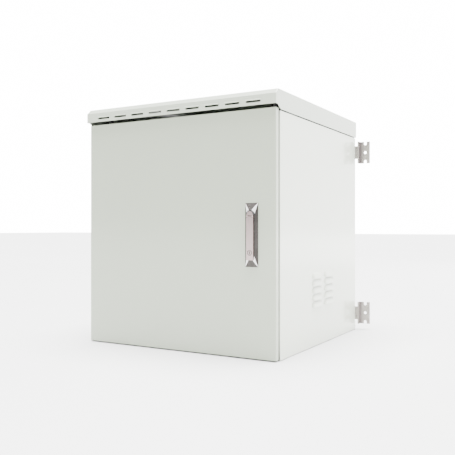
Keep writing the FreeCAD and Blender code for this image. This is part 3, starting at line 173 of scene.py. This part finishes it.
def powder_coat(name, colour):
    """Fine-textured powder paint, glossy outside, dull in gaps and hollows, where painted shade
    darkens its colour.
    """
    g = Graph(name)
    drift = g.ramp(g.noise(2.5, 3.0), 0.0, 1.0)
    paint = g.mix(drift, shade(colour, 0.985), shade(colour, 1.01))
    open_air = g.openness(HOLLOW_REACH)
    hollow = g.ramp(open_air, 1.0, 0.0, *HOLLOW_OPENNESS)
    # Painted shade: the paint's colour goes near-black in gaps and hollows.
    g.colour(g.mix(hollow, paint, shade(colour, HOLLOW_PAINTED_SHADE)))
    g.rough(g.larger(g.ramp(g.noise(60.0, 2.0), 0.38, 0.44), hollow))
    g.join(g.ramp(open_air, 0.0, 1.0, *HOLLOW_OPENNESS), g.shader.inputs["Coat Weight"])
    g.normal(g.bump(g.noise(420.0, 1.0), 0.00004, 0.35))
    g.set(Coat_Roughness=0.13, Coat_IOR=1.5)
    return g.material


def galvanised(name, colour):
    """Zinc-coated sheet with its spangle, each crystal a little lighter or duller."""
    g = Graph(name)
    spangle = g.cells(95.0)
    split = g.add("ShaderNodeSeparateColor")
    g.join(spangle, split.inputs[0])
    crystal = g.ramp(split.outputs[0], 0.0, 1.0, 0.0, 1.0)
    g.colour(g.mix(crystal, shade(colour, 0.86), shade(colour, 1.08)))
    g.rough(g.ramp(split.outputs[1], 0.3, 0.5, 0.0, 1.0))
    g.normal(g.bump(g.noise(700.0, 2.0), 0.00003, 0.4))
    g.set(Metallic=1.0)
    return g.material


def brushed(name, colour, grain):
    """Rolled or brushed steel with its grain drawn out along one axis, darkened by painted shade
    in corners.
    """
    g = Graph(name)
    lines = g.noise(1.0, 3.0, 0.6, g.stretched(grain))
    metal = g.mix(g.ramp(lines, 0.0, 1.0), shade(colour, 0.93), shade(colour, 1.05))
    # Painted shade in corners.
    corner = g.ramp(g.openness(CORNER_REACH), 1.0, 0.0, 0.35, 0.9)
    g.colour(g.mix(corner, metal, shade(colour, CORNER_PAINTED_SHADE)))
    g.rough(g.ramp(lines, 0.24, 0.36))
    g.normal(g.bump(lines, 0.00003, 0.4))
    g.set(Metallic=1.0)
    return g.material


def satin_chrome(name, colour):
    """Satin plating with a slow haze and a fine change of gloss."""
    g = Graph(name)
    haze = g.noise(35.0, 3.0)
    g.colour(g.mix(g.ramp(haze, 0.0, 1.0), shade(colour, 0.97), shade(colour, 1.02)))
    g.rough(g.ramp(g.noise(260.0, 2.0), 0.16, 0.24))
    g.normal(g.bump(g.noise(900.0, 1.0), 0.00001, 0.3))
    g.set(Metallic=1.0)
    return g.material


def handle_with_painted_light(name, light, middle, dark):
    """A die casting with painted light: near-white painted highlights on the corner facets, a
    satin upper slope painted lighter and painted shade on the lower slopes.
    """
    g = Graph(name)
    # Colour chosen by which way each face points: painted highlight, painted light and painted
    # shade.
    corners = g.ramp(g.facing(HIGHLIGHT_FACET_DIRECTION), 0.0, 1.0, *HIGHLIGHT_FACET_COSINES)
    upper = g.ramp(g.facing((0.0, 0.0, 1.0)), 0.0, 1.0, *PAINTED_UPPER_SLOPE_COSINES)
    haze = g.ramp(g.noise(45.0, 3.0), 0.0, 1.0)
    slopes = g.mix(haze, shade(dark, 0.85), shade(dark, 1.2))
    g.colour(g.mix(corners, g.mix(upper, slopes, middle), light))
    g.join(g.ramp(corners, 1.0, HIGHLIGHT_FACET_METAL, 0.0, 1.0), g.shader.inputs["Metallic"])
    g.rough(g.ramp(g.noise(260.0, 2.0), 0.2, 0.28))
    g.normal(g.bump(g.noise(900.0, 1.0), 0.00001, 0.3))
    return g.material


def lock_face(name, colour):
    """A lock face with fine turning marks, darkened by painted shade in its groove and key slot.
    """
    g = Graph(name)
    marks = g.ramp(g.noise(1.0, 2.0, 0.5, g.stretched((900.0, 40.0, 900.0))), 0.0, 1.0)
    face = g.mix(marks, shade(colour, 0.88), shade(colour, 1.05))
    # Painted shade in the groove and key slot.
    groove = g.ramp(g.openness(GROOVE_REACH), 1.0, 0.0, 0.5, 0.97)
    g.colour(g.mix(groove, face, shade(colour, GROOVE_PAINTED_SHADE)))
    g.rough(g.ramp(marks, 0.18, 0.3))
    g.set(Metallic=1.0)
    return g.material


def zinc_plate(name, colour):
    """Bright zinc on small turned and pressed parts, unevenly tinted."""
    g = Graph(name)
    tint = g.ramp(g.noise(140.0, 2.0), 0.0, 1.0)
    g.colour(g.mix(tint, shade(colour, 0.9), shade(colour, 1.05)))
    g.rough(g.ramp(g.noise(400.0, 2.0), 0.25, 0.4))
    g.normal(g.bump(g.noise(1500.0, 1.0), 0.00001, 0.3))
    g.set(Metallic=1.0)
    return g.material


def moulded(name, colour):
    """Moulded plastic with a fine spark-eroded grain."""
    g = Graph(name)
    flow = g.ramp(g.noise(18.0, 3.0), 0.0, 1.0)
    g.colour(g.mix(flow, shade(colour, 0.85), shade(colour, 1.15)))
    g.rough(g.ramp(g.noise(300.0, 2.0), 0.5, 0.62))
    g.normal(g.bump(g.cells(1400.0, "Distance"), 0.00004, 0.5))
    return g.material


def foam_rubber(name, colour):
    """Closed-cell rubber with open pores at its skin."""
    g = Graph(name)
    pores = g.cells(900.0, "Distance")
    g.colour(g.mix(g.ramp(pores, 0.0, 1.0, 0.0, 0.8), shade(colour, 0.6), shade(colour, 1.3)))
    g.rough(g.ramp(g.noise(200.0, 2.0), 0.7, 0.85))
    g.normal(g.bump(pores, 0.00012, 0.7))
    return g.material


def fibre_mat(name, colour):
    """Filter fleece: strands lying two ways across each other."""
    g = Graph(name)
    strands = g.noise(1.0, 4.0, 0.7, g.stretched((500.0, 2200.0, 500.0)))
    crossed = g.noise(1.0, 4.0, 0.7, g.stretched((500.0, 500.0, 2200.0)))
    g.colour(g.mix(g.ramp(strands, 0.0, 1.0), shade(colour, 0.7), shade(colour, 1.1)))
    g.rough(g.ramp(crossed, 0.8, 0.95))
    first = g.bump(strands, 0.0003, 0.7)
    g.normal(g.bump(crossed, 0.0003, 0.7, first))
    return g.material


MATERIALS = {
    # One paint in three tones: the side panel's lighter tone is painted light, the door's and the
    # roof's darker tones painted shade.
    "side_paint": powder_coat("side_paint", (0.62, 0.66, 0.56)),
    "door_paint": powder_coat("door_paint", (0.345, 0.385, 0.30)),
    "roof_paint": powder_coat("roof_paint", (0.41, 0.45, 0.37)),
    "bracket_steel": brushed("bracket_steel", (0.40, 0.365, 0.355), (300.0, 300.0, 14.0)),
    "zinc_fasteners": zinc_plate("zinc_fasteners", (0.66, 0.66, 0.64)),
    "galvanised_sheet": galvanised("galvanised_sheet", (0.62, 0.63, 0.64)),
    "machined_steel": brushed("machined_steel", (0.45, 0.45, 0.46), (500.0, 500.0, 30.0)),
    "handle_metal": satin_chrome("handle_metal", (0.40, 0.32, 0.31)),
    # escutcheon_metal's colours: the painted highlight, the painted light of the upper slope and
    # the painted shade of the lower slopes.
    "escutcheon_metal": handle_with_painted_light("escutcheon_metal", (0.9, 0.88, 0.87),
                                       (0.24, 0.22, 0.21), (0.055, 0.051, 0.048)),
    "lock_metal": lock_face("lock_metal", (0.36, 0.30, 0.29)),
    "bush_black": moulded("bush_black", (0.02, 0.02, 0.02)),
    "seal_rubber": foam_rubber("seal_rubber", (0.03, 0.03, 0.033)),
    "gland_plastic": moulded("gland_plastic", (0.10, 0.105, 0.11)),
    # guide_plastic also goes on the roof spacers: black nylon, and black also so that the gap
    # under the roof shows dark, as painted shade.
    "guide_plastic": moulded("guide_plastic", (0.05, 0.05, 0.05)),
    "filter_foam": fibre_mat("filter_foam", (0.60, 0.60, 0.55)),
    "fan_plastic": moulded("fan_plastic", (0.02, 0.02, 0.022)),
}


def paint_nodes():
    """Each CAD node takes the material that the record's slot names."""
    slots = {entry["node"]: entry["material_slot"] for entry in frame["record"]["subparts"]}
    for name, piece in frame["nodes"].items():
        for holder in piece.material_slots:
            holder.material = MATERIALS[slots[name]]


# ---- studio -----------------------------------------------------------------------

def studio_floor():
    """A wide pale floor, very slightly uneven in tone."""
    g = Graph("studio_floor")
    drift = g.ramp(g.noise(0.6, 2.0), 0.0, 1.0)
    g.colour(g.mix(drift, (0.62, 0.62, 0.62), (0.64, 0.64, 0.64)))
    g.rough(g.ramp(g.noise(3.0, 2.0), 0.75, 0.85))
    bpy.ops.mesh.primitive_plane_add(size=FLOOR_SIZE, location=(0, 0, 0))
    floor = bpy.context.object
    floor.name = "studio_floor"
    floor.data.materials.append(g.material)


def aimed(name, lamp, location, target):
    """Hangs a lamp at a place, shining at a target."""
    holder = bpy.data.objects.new(name, lamp)
    holder.location = location
    aim = Vector(target) - Vector(location)
    holder.rotation_euler = aim.to_track_quat("-Z", "Y").to_euler()
    bpy.context.scene.collection.objects.link(holder)


def softbox(name, location, target, size, power):
    """A rectangular lamp, its size in metres across and up."""
    lamp = bpy.data.lights.new(name, "AREA")
    lamp.shape = "RECTANGLE"
    lamp.size, lamp.size_y = size
    lamp.energy = power
    aimed(name, lamp, location, target)


def sky_light(name, direction, strength, spread):
    """Light from one direction, spread over an angle in degrees so that its shadows are soft."""
    lamp = bpy.data.lights.new(name, "SUN")
    lamp.energy = strength
    lamp.angle = math.radians(spread)
    aimed(name, lamp, direction, (0, 0, 0))


def studio_world():
    """White where the camera looks at it, and an even, weaker light on the object."""
    world = bpy.data.worlds.new("studio")
    world.use_nodes = True
    tree = world.node_tree
    tree.nodes.clear()
    output = tree.nodes.new("ShaderNodeOutputWorld")
    path = tree.nodes.new("ShaderNodeLightPath")
    mix = tree.nodes.new("ShaderNodeMixShader")
    tree.links.new(path.outputs["Is Camera Ray"], mix.inputs[0])
    for socket, strength in ((1, LIT_STRENGTH), (2, SEEN_STRENGTH)):
        light = tree.nodes.new("ShaderNodeBackground")
        light.inputs[0].default_value = (1, 1, 1, 1)
        light.inputs[1].default_value = strength
        tree.links.new(light.outputs[0], mix.inputs[socket])
    tree.links.new(mix.outputs[0], output.inputs[0])
    bpy.context.scene.world = world


def camera():
    """Level, at half the cabinet's height, turned to see its front and right side."""
    lens = bpy.data.cameras.new("camera")
    lens.lens = LENS
    lens.sensor_width = SENSOR_WIDTH
    lens.sensor_fit = "HORIZONTAL"
    lens.dof.use_dof = False
    holder = bpy.data.objects.new("camera", lens)
    holder.location = CAMERA_PLACE
    holder.rotation_euler = (math.radians(90), 0, math.radians(CAMERA_TURN))
    bpy.context.scene.collection.objects.link(holder)
    bpy.context.scene.camera = holder


paint_nodes()
studio_floor()
studio_world()
sky_light("overhead", (0.0, 0.0, 1.0), OVERHEAD_STRENGTH, OVERHEAD_SPREAD)
softbox("side_light", (2.6, 2.9, 1.3), (0.3, 0.1, 0.4), (5.0, 3.0), 240)
softbox("front_light", (1.7, -1.9, 1.5), (0, -0.3, 0.35), (1.2, 1.2), 16)
camera()
